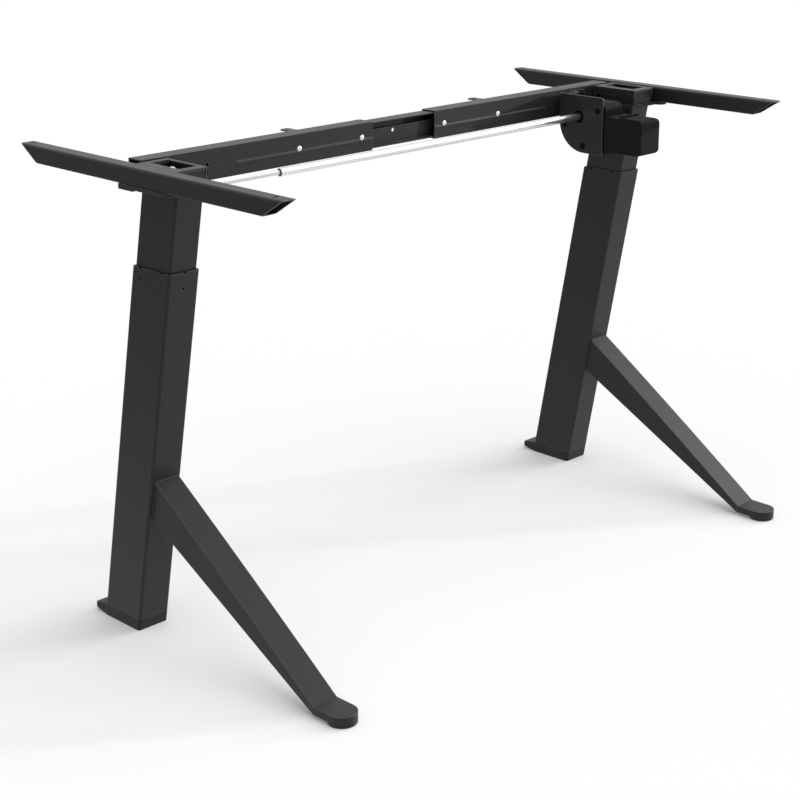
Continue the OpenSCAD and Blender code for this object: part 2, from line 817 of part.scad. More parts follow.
// Head frame: folded sheet that closes the column and carries the desk top
module head_frame(side) {
    left = side > 0 ? inner_w / 2 + head_ledge : column_x(side) + arm_in;
    right = inner_w / 2 + head_wall;
    foot_space(side) difference() {
        union() {
            translate([-left, 0, 0]) side_run(0, left + right) polygon([
                [front_y(frame_h, inner_d), frame_h],
                [-head_rear, frame_h],
                [-head_rear, frame_h - head_t],
                [front_y(frame_h - head_t, inner_d), frame_h - head_t]
            ]);
            side_run(right - head_wall, right) polygon([
                [front_y(frame_h, inner_d), frame_h],
                [-head_rear, frame_h],
                [-head_rear, arm_low],
                [front_y(arm_low, inner_d), arm_low]
            ]);
            translate([-inner_w / 2, -head_rear - head_wall, arm_low])
                cube([inner_w / 2 + right, head_wall, arm_h]);
            if (side > 0) {
                translate([-left, front_y(frame_h - head_t, inner_d), frame_h - ledge_h])
                    cube([head_wall, -head_rear - front_y(frame_h - head_t, inner_d), ledge_h]);
                translate([-left, front_y(frame_h - head_t, inner_d), frame_h - ledge_h])
                    cube([head_ledge, head_wall, ledge_h]);
            }
        }
        translate([-window_left, -window_front, arm_low])
            cube([window_left + window_right, window_front - window_rear, 2 * arm_h]);
    }
}

// Base plate: joins arm, column and rail, with a flange up the arm's side
module base_plate(side) {
    inner_edge = side * column_x(side) - inner_w / 2 - base_rim;
    front = front_y(arm_low - base_t, inner_d) - base_rim;
    difference() {
        side_space(side) {
            translate([0, 0, arm_low - base_t]) linear_extrude(base_t) {
                translate([inner_edge, front]) square([arm_out - inner_edge, -rail_front - front]);
                translate([arm_in, arm_w / 2 - base_front])
                    square([arm_w, base_front - rail_front - arm_w / 2]);
                translate([arm_out - arm_w / 2, arm_w / 2 - base_front]) circle(r = arm_w / 2);
            }
            translate([arm_in, -doubler_front, arm_low - base_t - doubler_t])
                cube([arm_w, doubler_front - rail_front, doubler_t]);
            translate([arm_in - head_wall, -flange_front, arm_low - base_t])
                cube([head_wall, flange_front - flange_rear, base_t + arm_h - head_t]);
        }
        lean_space(side) post(inner_w, inner_d, inner_r, rim_z, frame_h + inner_d);
    }
}

module side_arm(side) {
    side_space(side) difference() {
        intersection() {
            translate([arm_out - arm_w / 2, 0, arm_low + arm_h / 2]) rotate([90, 0, 0])
                post_tube(arm_w, arm_h, arm_r, arm_wall, -arm_rear, arm_front);
            translate([arm_out, 0, 0]) side_view(2 * arm_w) polygon([
                [-arm_front, frame_h],
                [arm_rear, frame_h],
                [arm_rear - arm_rear_cut, arm_low],
                [arm_front_cut - arm_front, arm_low]
            ]);
        }
        for (y = [slot_front - arm_front, arm_rear - slot_rear]) {
            translate([arm_out - arm_w / 2, y, frame_h]) {
                translate([0, 0, -arm_h / 2]) linear_extrude(arm_h) slot_view(slot_l, slot_w);
                if (y < 0) z_pin(access_r, -2 * arm_h, -arm_h / 2);
            }
        }
    }
}

// Mirrored space for the rails, whose gap stands off the middle of the frame
module rail_space(side) {
    translate([rail_shift, 0, 0]) side_space(side) children();
}

// Side view of the bead, or of its hollow when it is moved back by the sheet's thickness
module bead_view(back, root) {
    crest = rail_low + bead_z;
    polygon([
        [root + back - rail_front, crest - bead_fall],
        [back - rail_front, crest - bead_fall],
        [back - rail_front - bead_out, crest],
        [back - rail_front, crest + bead_rise],
        [root + back - rail_front, crest + bead_rise]
    ]);
}

module weld_nut() {
    y_pin(weld_nut_r, rail_wall / 2 - rail_front, rail_wall - rail_front + weld_nut_h);
}

// Outer rail: open channel with a bead pressed along its web
module outer_rail(side) {
    outer_end = arm_out - rail_inset - side * rail_shift;
    plate_screw_x = side > 0 ? [for (x = foot_screw_x) x - rail_shift] : [];
    rail_space(side) difference() {
        union() {
            difference() {
                side_run(rail_gap_half, outer_end) polygon([
                    [-rail_front, rail_low],
                    [rail_low_d - rail_front, rail_low],
                    [rail_low_d - rail_front, rail_low + rail_wall],
                    [rail_wall - rail_front, rail_low + rail_wall],
                    [rail_wall - rail_front, frame_h - rail_wall],
                    [-rail_back - rail_wall, frame_h - rail_wall],
                    [-rail_back - rail_wall, frame_h - rail_lip],
                    [-rail_back, frame_h - rail_lip],
                    [-rail_back, frame_h],
                    [-rail_front, frame_h]
                ]);
                side_run(0, bead_end - rail_wall) bead_view(rail_wall, rail_wall);
            }
            difference() {
                side_run(rail_gap_half, bead_end) bead_view(0, rail_wall / 2);
                for (x = [screw_in, screw_out]) {
                    translate([x, 0, rail_low + screw_z])
                        y_pin(screw_head_r + free_gap, -2 * rail_front, -rail_front);
                }
            }
            for (x = [screw_in, screw_out]) {
                translate([x, 0, rail_low + screw_z]) weld_nut();
            }
            for (x = plate_screw_x) {
                translate([x, 0, foot_screw_z]) weld_nut();
            }
        }
        for (x = [screw_in, screw_out]) {
            translate([x, 0, rail_low + screw_z]) y_pin(screw_r, -2 * rail_front, 0);
        }
        for (x = plate_screw_x) {
            translate([x, 0, foot_screw_z]) y_pin(screw_r, -2 * rail_front, 0);
        }
        translate([port_x, 0, rail_low + screw_z]) y_pin(port_r, -2 * rail_front, 0);
        translate([port_x - port_slot_w / 2, -2 * rail_front, rail_low + port_slot_z])
            cube([port_slot_w, 2 * rail_front, port_slot_l]);
    }
}

module rail_screws(side) {
    tip = rail_front - rail_low_d + free_gap;
    rail_space(side) for (x = [screw_in, screw_out]) {
        translate([x, 0, rail_low + screw_z]) {
            y_pin(screw_head_r, -rail_front - screw_head_h, -rail_front);
            y_pin(screw_r, -rail_front, -tip);
        }
    }
}

module rail_tab(side) {
    rail_space(side) difference() {
        union() {
            translate([tab_x, -rail_back + tab_l / 2, frame_h - tab_t])
                linear_extrude(tab_t) {
                    round_rect(tab_w, tab_l, tab_r);
                    translate([-tab_w / 2, -tab_l / 2]) square([tab_w, tab_l / 2]);
                }
            translate([tab_x - tab_w / 2, -rail_back, frame_h - tab_foot])
                cube([tab_w, tab_t, tab_foot]);
        }
        translate([tab_x, -rail_back + tab_l - tab_hole_in, frame_h]) z_pin(tab_hole_r, -tab_foot, tab_foot);
    }
}

// Inner rail: slides inside both outer rails; its web steps back above a ledge
module inner_rail() {
    web = rail_front - rail_low_d;
    low = rail_low + rail_wall + free_gap;
    high = frame_h - rail_wall - free_gap;
    back = rail_back + rail_wall + free_gap;
    shelf = rail_low + ledge_z;
    lip = rail_front - rail_wall - free_gap;
    frame_space() difference() {
        side_view(2 * inner_half) polygon([
            [-lip, low],
            [rail_wall - web, low],
            [rail_wall - web, shelf - rail_wall],
            [-back, shelf - rail_wall],
            [-back, high],
            [-lip, high],
            [-lip, high - rail_wall],
            [-back - rail_wall, high - rail_wall],
            [-back - rail_wall, shelf],
            [-web, shelf],
            [-web, low + rail_wall],
            [-lip, low + rail_wall]
        ]);
        translate([-inner_hole_x, 0, shelf - 2 * port_r]) y_pin(port_r, -rail_front, 0);
    }
}

module drive_rod() {
    left = column_x(-1) - cavity_w / 2 + free_gap;
    drive_space(0) x_hex(rod_r, left, rod_right);
}

module drive_tube() {
    right = box_x + tube_in;
    drive_space(0) difference() {
        x_pin(tube_r, -tube_left, right);
        x_pin(tube_bore, -tube_left - tube_r, right - tube_plug);
        x_hex(rod_r, 0, right + tube_r);
    }
}

module tube_bush() {
    drive_space(0) difference() {
        x_pin(tube_bore, -tube_left, tube_bush_l - tube_left);
        x_hex(rod_r + free_gap, -2 * tube_left, 0);
    }
}

module right_shaft() {
    right = column_x(1) + cavity_w / 2 - free_gap;
    drive_space(0) x_hex(rod_r, box_x + tube_in - tube_plug, right);
}

module plate_view() {
    difference() {
        union() {
            translate([-plate_front, round_z]) square([plate_front + plate_rear, plate_up - round_z]);
            translate([-plate_front, -plate_down])
                square([plate_front + round_y, plate_down + plate_up]);
            intersection() {
                translate([round_y, round_z]) circle(r = plate_round, $fn = 128);
                translate([round_y, -plate_down]) square([plate_round, plate_down]);
            }
        }
        translate([-plate_front, plate_up - plate_corner]) square([plate_corner, plate_corner]);
    }
    translate([plate_corner - plate_front, plate_up - plate_corner]) circle(r = plate_corner);
}

// Motor plate: side plate with a folded flange that reaches back to the rail's web
module motor_plate() {
    web_y = -rail_front - drive_y;
    low = plate_up - foot_h;
    drive_space(plate_x) difference() {
        union() {
            side_run(0, plate_t) plate_view();
            translate([0, plate_rear - plate_t, low])
                cube([plate_run, plate_t, foot_h - plate_t]);
            translate([plate_run - plate_t, plate_rear - plate_t, low])
                cube([plate_t, web_y - plate_rear + plate_t, foot_h - plate_t]);
            translate([plate_run - plate_t, web_y - plate_t, low])
                cube([plate_t + foot_l, plate_t, foot_h - plate_t]);
        }
        x_pin(bush_r, -plate_t, 2 * plate_t);
        for (p = plate_holes) {
            translate([0, p[0], p[1]]) x_pin(plate_hole_r, -plate_t, 2 * plate_t);
        }
        for (x = foot_screw_x) {
            translate([x - plate_x, 0, foot_screw_z - drive_z]) y_pin(screw_r, 0, 2 * web_y);
        }
    }
}

module plate_screws() {
    frame_space() for (x = foot_screw_x) {
        translate([x, -rail_front, foot_screw_z]) {
            y_pin(screw_head_r, -plate_t - screw_head_h, -plate_t);
            y_pin(screw_r, -plate_t, rail_wall + weld_nut_h);
        }
    }
}

module shaft_bush() {
    drive_space(plate_x) difference() {
        x_pin(bush_r, 0, plate_t + bush_l);
        x_pin(tube_r + free_gap, -plate_t, 2 * (plate_t + bush_l));
    }
}

// Side view of the gearbox housing, drawn in by an inset on every side
module box_view(inset) {
    r = box_fillet - inset;
    rear = plate_rear - plate_t - box_inset;
    arc = plate_round - plate_t - box_inset;
    arc_z = box_inset - plate_down + arc;
    difference() {
        union() {
            translate([inset - box_front, arc_z])
                square([box_front + rear - 2 * inset, box_up - arc_z - inset]);
            translate([inset - box_front, arc_z - arc + inset])
                square([box_front + round_y - inset, plate_down]);
            intersection() {
                translate([round_y, arc_z]) circle(r = arc - inset, $fn = 128);
                translate([round_y, -plate_down]) square([plate_round, plate_down + arc_z]);
            }
        }
        translate([inset - box_front, box_up - inset - r]) square([r, r]);
    }
    translate([inset - box_front + r, box_up - inset - r]) circle(r = r);
}

module gearbox_housing() {
    drive_space(box_x) difference() {
        union() {
            difference() {
                side_run(0, box_w) box_view(0);
                side_run(-box_wall, box_w - box_wall) box_view(box_wall);
            }
            for (p = plate_holes) {
                translate([0, p[0], p[1]]) {
                    x_pin(boss_r, 0, box_w - box_wall);
                    x_pin(plate_hole_r - pin_gap, -plate_t / 3, box_wall);
                }
            }
        }
        x_pin(wheel_hub_r + run_gap, 0, 2 * box_w);
        translate([box_w / 2, 0, -worm_drop]) y_pin(worm_shaft_r + run_gap, -2 * box_front, 2 * box_front);
    }
}

module worm_shaft() {
    rear = plate_rear - plate_t - box_inset;
    drive_space(wheel_x) translate([0, 0, -worm_drop]) {
        y_pin(worm_shaft_r, -box_front - worm_shaft_r, rear);
        y_pin(worm_r, -worm_l / 2, worm_l / 2);
    }
}

module worm_wheel() {
    drive_space(0) difference() {
        union() {
            x_pin(wheel_r, wheel_x - wheel_w / 2, wheel_x + wheel_w / 2);
            x_pin(wheel_hub_r, wheel_x, box_x + box_w);
        }
        x_hex(rod_r, plate_x, arm_out);
    }
}

module motor_body() {
    drive_space(motor_x) difference() {
        union() {
            translate([0, -adapter_front, -motor_down])
                cube([motor_w, adapter_front - box_front, motor_down + motor_up - band_h / 2]);
            translate([0, -band_front, -motor_down])
                cube([motor_w - band_h, band_front - adapter_front, motor_down + motor_up + band_h]);
        }
        translate([wheel_x - motor_x, 0, -worm_drop])
            y_pin(worm_shaft_r + free_gap, -box_front - worm_shaft_r - free_gap, 0);
        translate([-motor_w, -box_front - band_h, -motor_down - band_h])
            cube([3 * motor_w, 2 * band_h, 2 * band_h]);
    }
}

module motor_cover() {
    long = cover_front - band_front;
    high = motor_up + motor_down;
    drive_space(motor_x) intersection() {
        translate([0, -cover_front, -motor_down]) side_run(0, motor_w) {
            translate([long, high / 2]) round_rect(2 * long, high, cover_r);
        }
        translate([0, -band_front, (motor_up - motor_down) / 2]) rotate([90, 0, 0])
            post(2 * motor_w, high, cover_side_r, 0, long);
    }
}

color(steel) outer_column(-1);  // left_outer_column
color(steel) brace(-1);  // left_brace
color(plastic) foot_cap(-1);  // left_foot_cap
color(plastic) glide(-1);  // left_glide
color(steel) end_plate(-1);  // left_end_plate
color(zinc) nut_tube(-1);  // left_nut_tube
color(brass) spindle_nut(-1);  // left_spindle_nut
color(plastic) upper_liner(-1);  // left_upper_liner
color(steel) inner_column(-1);  // left_inner_column
color(plastic) lower_liner(-1);  // left_lower_liner
color(plastic) gear_carrier(-1);  // left_gear_carrier
color(zinc) spindle(-1);  // left_spindle
color(nylon) spindle_gear(-1);  // left_spindle_gear
color(nylon) drive_gear(-1);  // left_drive_gear
color(steel) head_frame(-1);  // left_head_frame
color(steel) base_plate(-1);  // left_base_plate
color(steel) side_arm(-1);  // left_side_arm
color(steel) outer_rail(-1);  // left_outer_rail
color(steel) rail_tab(-1);  // left_rail_tab
color(zinc) rail_screws(-1);  // left_rail_screws
color(steel) outer_column(1);  // right_outer_column
color(steel) brace(1);  // right_brace
color(plastic) foot_cap(1);  // right_foot_cap
color(plastic) glide(1);  // right_glide
color(steel) end_plate(1);  // right_end_plate
color(zinc) nut_tube(1);  // right_nut_tube
color(brass) spindle_nut(1);  // right_spindle_nut
color(plastic) upper_liner(1);  // right_upper_liner
color(steel) inner_column(1);  // right_inner_column
color(plastic) lower_liner(1);  // right_lower_liner
color(plastic) gear_carrier(1);  // right_gear_carrier
color(zinc) spindle(1);  // right_spindle
color(nylon) spindle_gear(1);  // right_spindle_gear
color(nylon) drive_gear(1);  // right_drive_gear
color(steel) head_frame(1);  // right_head_frame
color(steel) base_plate(1);  // right_base_plate
color(steel) side_arm(1);  // right_side_arm
color(steel) outer_rail(1);  // right_outer_rail
color(steel) rail_tab(1);  // right_rail_tab
color(zinc) rail_screws(1);  // right_rail_screws
color(steel) inner_rail();
color(zinc) drive_rod();
color(zinc) drive_tube();
color(plastic) tube_bush();
color(zinc) right_shaft();
color(steel) motor_plate();
color(zinc) plate_screws();
color(plastic) shaft_bush();
color(plastic) gearbox_housing();
color(zinc) worm_shaft();
color(nylon) worm_wheel();
color(plastic) motor_body();
color(plastic) motor_cover();
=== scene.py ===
# %% [markdown]
# # A standing desk frame, dressed for the camera
# The real object is a black steel frame without its desk top: two leaning lift columns, a telescopic
# rail between them, two side arms and one motor whose shaft turns both lift spindles.
# The CAD model already has every sub-part at its real size. This lesson loads it, gives each part the
# finish that the real one has, and adds the small forms that a CAD solid leaves out.

# %% Load the imported frame
import json
import math

import bmesh
import bpy
from mathutils import Matrix, Vector


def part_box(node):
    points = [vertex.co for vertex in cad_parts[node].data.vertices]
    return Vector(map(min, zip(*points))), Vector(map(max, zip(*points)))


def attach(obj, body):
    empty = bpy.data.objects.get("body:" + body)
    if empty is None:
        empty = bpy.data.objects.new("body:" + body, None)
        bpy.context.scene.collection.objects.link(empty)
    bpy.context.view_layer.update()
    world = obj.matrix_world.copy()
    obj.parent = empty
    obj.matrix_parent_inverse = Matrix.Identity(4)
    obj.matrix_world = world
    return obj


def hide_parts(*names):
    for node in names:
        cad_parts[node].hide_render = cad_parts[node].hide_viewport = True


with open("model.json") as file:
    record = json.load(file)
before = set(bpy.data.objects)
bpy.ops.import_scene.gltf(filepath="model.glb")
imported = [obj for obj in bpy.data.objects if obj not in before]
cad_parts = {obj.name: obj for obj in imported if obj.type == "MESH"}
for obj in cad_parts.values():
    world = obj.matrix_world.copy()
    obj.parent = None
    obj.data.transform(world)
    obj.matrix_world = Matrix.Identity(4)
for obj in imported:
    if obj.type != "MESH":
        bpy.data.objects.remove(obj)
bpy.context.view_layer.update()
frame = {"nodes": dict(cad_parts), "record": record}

MM = 0.001

# %% [markdown]
# ## Camera
# The photograph is a long-lens product shot from the left front, a little above the desk top's height.
# Its place and angle were solved from the frame's own straight edges. The lens is shifted down instead of
# tilted further, so the columns keep their angles.

# %% Place the camera
SENSOR_MM = 36
LENS_MM = 79.206
CAMERA_AT = (-1.90816, -1.79560, 1.14280)
CAMERA_TURN = -45.335
CAMERA_DOWN = 14.995
SHIFT_Y = -0.14425

camera_data = bpy.data.cameras.new("photo_camera")
camera_data.sensor_width = SENSOR_MM
camera_data.lens = LENS_MM
camera_data.shift_y = SHIFT_Y
camera = bpy.data.objects.new("photo_camera", camera_data)
bpy.context.scene.collection.objects.link(camera)
camera.location = CAMERA_AT
camera.rotation_euler = (math.radians(90 - CAMERA_DOWN), 0, math.radians(CAMERA_TURN))
bpy.context.scene.camera = camera
print("camera looks", CAMERA_DOWN, "degrees down through a", LENS_MM, "mm lens")

# %% [markdown]
# ## Light
# A studio sweep lights a dark object from everywhere. Most of it comes from a very wide light overhead,
# so the shadows lie under the feet and have no edge. A soft lamp at the right lifts the slopes, and a small
# low one at the right front glances off the rails and the columns' front faces. All are sun lamps, whose
# strength is even over the whole floor, where an area lamp would fade. The world adds a dim fill, and shows
# itself white to the camera and to reflections. That white already stands for the overhead light, so
# reflections leave the lamp out.

# %% Light the set
FILL = 0.40
# each lamp has its strength, its disc in degrees, the direction it stands in, and if reflections show it
LAMPS = {
    "overhead": (1.85, 75, (0.22, -0.30, 1.0), False),
    "right": (0.8, 25, (0.85, -0.20, 0.45), True),
    "low_right": (1.1, 3, (0.88, -0.44, 0.13), True),
}

bpy.context.scene.view_settings.view_transform = "Standard"
for name, (strength, disc, direction, in_reflections) in LAMPS.items():
    lamp_data = bpy.data.lights.new(name, "SUN")
    lamp_data.energy = strength
    lamp_data.angle = math.radians(disc)
    lamp = bpy.data.objects.new(name, lamp_data)
    lamp.rotation_euler = Vector(direction).to_track_quat("Z", "Y").to_euler()
    lamp.visible_glossy = in_reflections
    bpy.context.scene.collection.objects.link(lamp)


def join(tree, source, target):
    """Link an output socket to an input socket."""
    tree.links.new(source, target)


def seen_directly(tree):
    """1 for camera, glossy and transmission rays, 0 for the rays that carry light to the object."""
    path = tree.nodes.new("ShaderNodeLightPath")
    total = path.outputs["Is Camera Ray"]
    for name in ("Is Glossy Ray", "Is Transmission Ray"):
        add = tree.nodes.new("ShaderNodeMath")
        add.operation = "MAXIMUM"
        join(tree, total, add.inputs[0])
        join(tree, path.outputs[name], add.inputs[1])
        total = add.outputs[0]
    return total


world = bpy.data.worlds.new("studio")
bpy.context.scene.world = world
world.use_nodes = True
sky = world.node_tree
sky.nodes.clear()
fill_light = sky.nodes.new("ShaderNodeBackground")
fill_light.inputs["Color"].default_value = (1, 1, 1, 1)
fill_light.inputs["Strength"].default_value = FILL
white_sweep = sky.nodes.new("ShaderNodeBackground")
white_sweep.inputs["Color"].default_value = (1, 1, 1, 1)
white_sweep.inputs["Strength"].default_value = 1
sky_mix = sky.nodes.new("ShaderNodeMixShader")
sky_out = sky.nodes.new("ShaderNodeOutputWorld")
join(sky, seen_directly(sky), sky_mix.inputs[0])
join(sky, fill_light.outputs[0], sky_mix.inputs[1])
join(sky, white_sweep.outputs[0], sky_mix.inputs[2])
join(sky, sky_mix.outputs[0], sky_out.inputs["Surface"])
print("fill", FILL, "lamps", {name: lamp[0] for name, lamp in LAMPS.items()})

# %% [markdown]
# ## Floor
# The floor is one large pale sheet. Its material is mostly plain diffuse, which takes the shadow, with a
# little white that only the camera sees, so it melts into the background. Reflections see a pool of light
# on it that fades with distance, as the lit part of a studio floor does. It gives the walls their tones.

# %% Lay the floor
FLOOR_HALF = 30
FLOOR_WHITE = 0.15
POOL_AT = (0.5, -0.5, 0)
POOL_RADII = (0.6, 3.4)
POOL_LEVELS = (0.88, 0.3)

floor_mesh = bpy.data.meshes.new("floor")
bm = bmesh.new()
bmesh.ops.create_grid(bm, x_segments=1, y_segments=1, size=FLOOR_HALF)
bm.to_mesh(floor_mesh)
bm.free()
floor = bpy.data.objects.new("floor", floor_mesh)
bpy.context.scene.collection.objects.link(floor)

floor_material = bpy.data.materials.new("pale_floor")
floor_material.use_nodes = True
tree = floor_material.node_tree
tree.nodes.clear()
paper = tree.nodes.new("ShaderNodeBsdfDiffuse")
paper.inputs["Color"].default_value = (0.9, 0.9, 0.9, 1)
glow = tree.nodes.new("ShaderNodeEmission")
pool = tree.nodes.new("ShaderNodeEmission")
place = tree.nodes.new("ShaderNodeTexCoord")
reach = tree.nodes.new("ShaderNodeVectorMath")
reach.operation = "DISTANCE"
reach.inputs[1].default_value = POOL_AT
join(tree, place.outputs["Object"], reach.inputs[0])
fade = tree.nodes.new("ShaderNodeMapRange")
fade.interpolation_type = "SMOOTHSTEP"
fade.inputs["From Min"].default_value, fade.inputs["From Max"].default_value = POOL_RADII
fade.inputs["To Min"].default_value, fade.inputs["To Max"].default_value = POOL_LEVELS
join(tree, reach.outputs["Value"], fade.inputs["Value"])
join(tree, fade.outputs["Result"], pool.inputs["Strength"])

path = tree.nodes.new("ShaderNodeLightPath")
share = tree.nodes.new("ShaderNodeMath")
share.operation = "MULTIPLY"
share.inputs[1].default_value = FLOOR_WHITE
camera_mix = tree.nodes.new("ShaderNodeMixShader")
mirror_mix = tree.nodes.new("ShaderNodeMixShader")
floor_out = tree.nodes.new("ShaderNodeOutputMaterial")
join(tree, path.outputs["Is Camera Ray"], share.inputs[0])
join(tree, share.outputs[0], camera_mix.inputs[0])
join(tree, paper.outputs[0], camera_mix.inputs[1])
join(tree, glow.outputs[0], camera_mix.inputs[2])
join(tree, path.outputs["Is Glossy Ray"], mirror_mix.inputs[0])
join(tree, camera_mix.outputs[0], mirror_mix.inputs[1])
join(tree, pool.outputs[0], mirror_mix.inputs[2])
join(tree, mirror_mix.outputs[0], floor_out.inputs["Surface"])
floor_mesh.materials.append(floor_material)
print("floor is", 2 * FLOOR_HALF, "m wide")

# %% [markdown]
# ## Finishes
# Every finish is a Principled shader fed by noise in object coordinates, in metres, so a grain has its
# real size. The helpers below add the three things that all finishes share: a coordinate, a noise and
# an edge mask. The edge mask compares the true normal with a rounded one, and is bright only near edges.

# %% Helpers for finishes
def start_finish(name):
    """A material with one Principled shader, its tree and that shader."""
    material = bpy.data.materials.new(name)
    material.use_nodes = True
    tree = material.node_tree
    tree.nodes.clear()
    shader = tree.nodes.new("ShaderNodeBsdfPrincipled")
    output = tree.nodes.new("ShaderNodeOutputMaterial")
    join(tree, shader.outputs["BSDF"], output.inputs["Surface"])
    return material, tree, shader


def noise(tree, grain, detail=2, stretch=(1, 1, 1)):
    """Noise whose lumps are about one grain wide, in metres, longer along an axis with a small stretch."""
    place = tree.nodes.new("ShaderNodeTexCoord")
    mapping = tree.nodes.new("ShaderNodeMapping")
    mapping.inputs["Scale"].default_value = stretch
    texture = tree.nodes.new("ShaderNodeTexNoise")
    texture.inputs["Scale"].default_value = 1 / grain
    texture.inputs["Detail"].default_value = detail
    join(tree, place.outputs["Object"], mapping.inputs["Vector"])
    join(tree, mapping.outputs["Vector"], texture.inputs["Vector"])
    return texture.outputs["Fac"]


def spread(tree, value, low, high, start=0.3, end=0.7):
    """Map a noise value to the range from low to high."""
    ranged = tree.nodes.new("ShaderNodeMapRange")
    ranged.inputs["From Min"].default_value = start
    ranged.inputs["From Max"].default_value = end
    ranged.inputs["To Min"].default_value = low
    ranged.inputs["To Max"].default_value = high
    join(tree, value, ranged.inputs["Value"])
    return ranged.outputs["Result"]


def blend_colours(tree, factor, first, second):
    """Mix two colours, or two colour sockets, by a factor socket."""
    mix = tree.nodes.new("ShaderNodeMix")
    mix.data_type = "RGBA"
    join(tree, factor, mix.inputs["Factor"])
    for socket, colour in ((mix.inputs[6], first), (mix.inputs[7], second)):
        if isinstance(colour, tuple):
            socket.default_value = (*colour, 1)
        else:
            join(tree, colour, socket)
    return mix.outputs[2]


def soft_normal(tree, radius):
    """The surface normal as if every sharp edge were rounded by a radius in metres."""
    rounded = tree.nodes.new("ShaderNodeBevel")
    rounded.samples = 6
    rounded.inputs["Radius"].default_value = radius
    return rounded.outputs["Normal"]


def edge_mask(tree, radius):
    """Near 1 on sharp edges and 0 on flats."""
    geometry = tree.nodes.new("ShaderNodeNewGeometry")
    dot = tree.nodes.new("ShaderNodeVectorMath")
    dot.operation = "DOT_PRODUCT"
    join(tree, soft_normal(tree, radius), dot.inputs[0])
    join(tree, geometry.outputs["Normal"], dot.inputs[1])
    return spread(tree, dot.outputs["Value"], 1, 0, start=0.80, end=0.985)


def bump(tree, shader, height, distance, strength, edge_radius):
    """Feed a height into the shader's normal, over rounded edges."""
    node = tree.nodes.new("ShaderNodeBump")
    node.inputs["Distance"].default_value = distance
    node.inputs["Strength"].default_value = strength
    join(tree, height, node.inputs["Height"])
    join(tree, soft_normal(tree, edge_radius), node.inputs["Normal"])
    join(tree, node.outputs["Normal"], shader.inputs["Normal"])


# %% [markdown]
# ### Powder coat
# Powder coat is a baked plastic skin on steel. It is nearly black and matt, with a fine orange-peel
# texture, and it catches light at a grazing angle. Its edges are painted paler: partly wear, where the coat
# is thinner, and partly a painted highlight for the light that the rounded edges catch.
# A low specular level keeps the walls dark, while Fresnel still lifts the level faces.

# %% Make the powder coat
def powder_coat(name, tone, edge_wear_and_highlight_tone, rough_low, rough_high, specular):
    material, tree, shader = start_finish(name)
    cloud = spread(tree, noise(tree, 0.11, 3), 0, 1)
    base = blend_colours(tree, cloud, tuple(0.95 * c for c in tone), tuple(1.05 * c for c in tone))
    # paler edges: partly wear, partly a painted highlight for the light caught on rounded edges
    wear_and_highlight = tree.nodes.new("ShaderNodeMath")
    wear_and_highlight.operation = "MULTIPLY"
    join(tree, edge_mask(tree, 0.0022), wear_and_highlight.inputs[0])
    join(tree, spread(tree, noise(tree, 0.006, 4), 0.6, 0.9, 0.35, 0.65), wear_and_highlight.inputs[1])
    join(tree, blend_colours(tree, wear_and_highlight.outputs[0], base, edge_wear_and_highlight_tone), shader.inputs["Base Color"])
    join(tree, spread(tree, noise(tree, 0.03, 5), rough_low, rough_high), shader.inputs["Roughness"])
    shader.inputs["Specular IOR Level"].default_value = specular
    bump(tree, shader, noise(tree, 0.0011, 3), 0.00008, 0.55, 0.0009)
    return material


# the edge tone 0.110 is partly wear and partly a painted highlight
coat = powder_coat("powder_coat", (0.0150, 0.0150, 0.0156), (0.110, 0.110, 0.113), 0.41, 0.45, 0.30)
print("made", coat.name)

# %% [markdown]
# ### Moulded plastic
# Foot caps are moulded in black plastic with a spark-eroded grain. It is softer and a little deeper than
# powder coat, and it doesn't wear to a paler tone. The motor's housings are duller still, and the glides
# are smooth and shiny. Bushes, liners and the plate's plugs are painted near black as painted shade, so
# they read as gaps and holes. The gears are pale nylon.

# %% Make the plastics
def moulded(name, tone, rough_low, rough_high, specular, grain=0.0007, depth=0.00006):
    material, tree, shader = start_finish(name)
    cloud = spread(tree, noise(tree, 0.05, 3), 0, 1)
    base = blend_colours(tree, cloud, tuple(0.9 * c for c in tone), tuple(1.1 * c for c in tone))
    join(tree, base, shader.inputs["Base Color"])
    join(tree, spread(tree, noise(tree, 0.012, 4), rough_low, rough_high), shader.inputs["Roughness"])
    shader.inputs["Specular IOR Level"].default_value = specular
    bump(tree, shader, noise(tree, grain, 2), depth, 0.5, 0.0008)
    return material


black_plastic = moulded("black_plastic", (0.012, 0.012, 0.0125), 0.50, 0.56, 0.26)
motor_plastic = moulded("motor_plastic", (0.0090, 0.0090, 0.0092), 0.66, 0.72, 0.10, grain=0.0009)
glide_rubber = moulded("glide_rubber", (0.0035, 0.0035, 0.0036), 0.28, 0.34, 0.40,
                       grain=0.002, depth=0.00002)
# near-black painted shade: bushes, liners and plugs stand in for the shade inside gaps and holes
gap_shade_black = moulded("gap_shade_black", (0.002, 0.002, 0.002), 0.60, 0.66, 0.05)
gear_nylon = moulded("gear_nylon", (0.72, 0.71, 0.66), 0.45, 0.60, 0.50, grain=0.0015, depth=0.00002)
print("made", black_plastic.name, motor_plastic.name, glide_rubber.name, gap_shade_black.name, gear_nylon.name)

# %% [markdown]
# ### Bare metals
# The drive tube, rod, screws and spindles are bright zinc-plated steel, drawn or turned, so fine lines
# run along or round them. The clamp screws' plating is creamier and duller. Two hidden zinc bolts are
# darkened to near black, and the spindle nuts are turned brass.

# %% Make the metals
def plated(name, tone, rough_low, rough_high, stretch, relief=0.15):
    material, tree, shader = start_finish(name)
    lines = noise(tree, 0.0016, 3, stretch)
    stain = spread(tree, noise(tree, 0.02, 3), 0, 1)
    base = blend_colours(tree, stain, tuple(0.95 * c for c in tone), tone)
    join(tree, base, shader.inputs["Base Color"])
    shader.inputs["Metallic"].default_value = 1
    join(tree, spread(tree, lines, rough_low, rough_high), shader.inputs["Roughness"])
    bump(tree, shader, lines, 0.00002, relief, 0.0004)
    return material


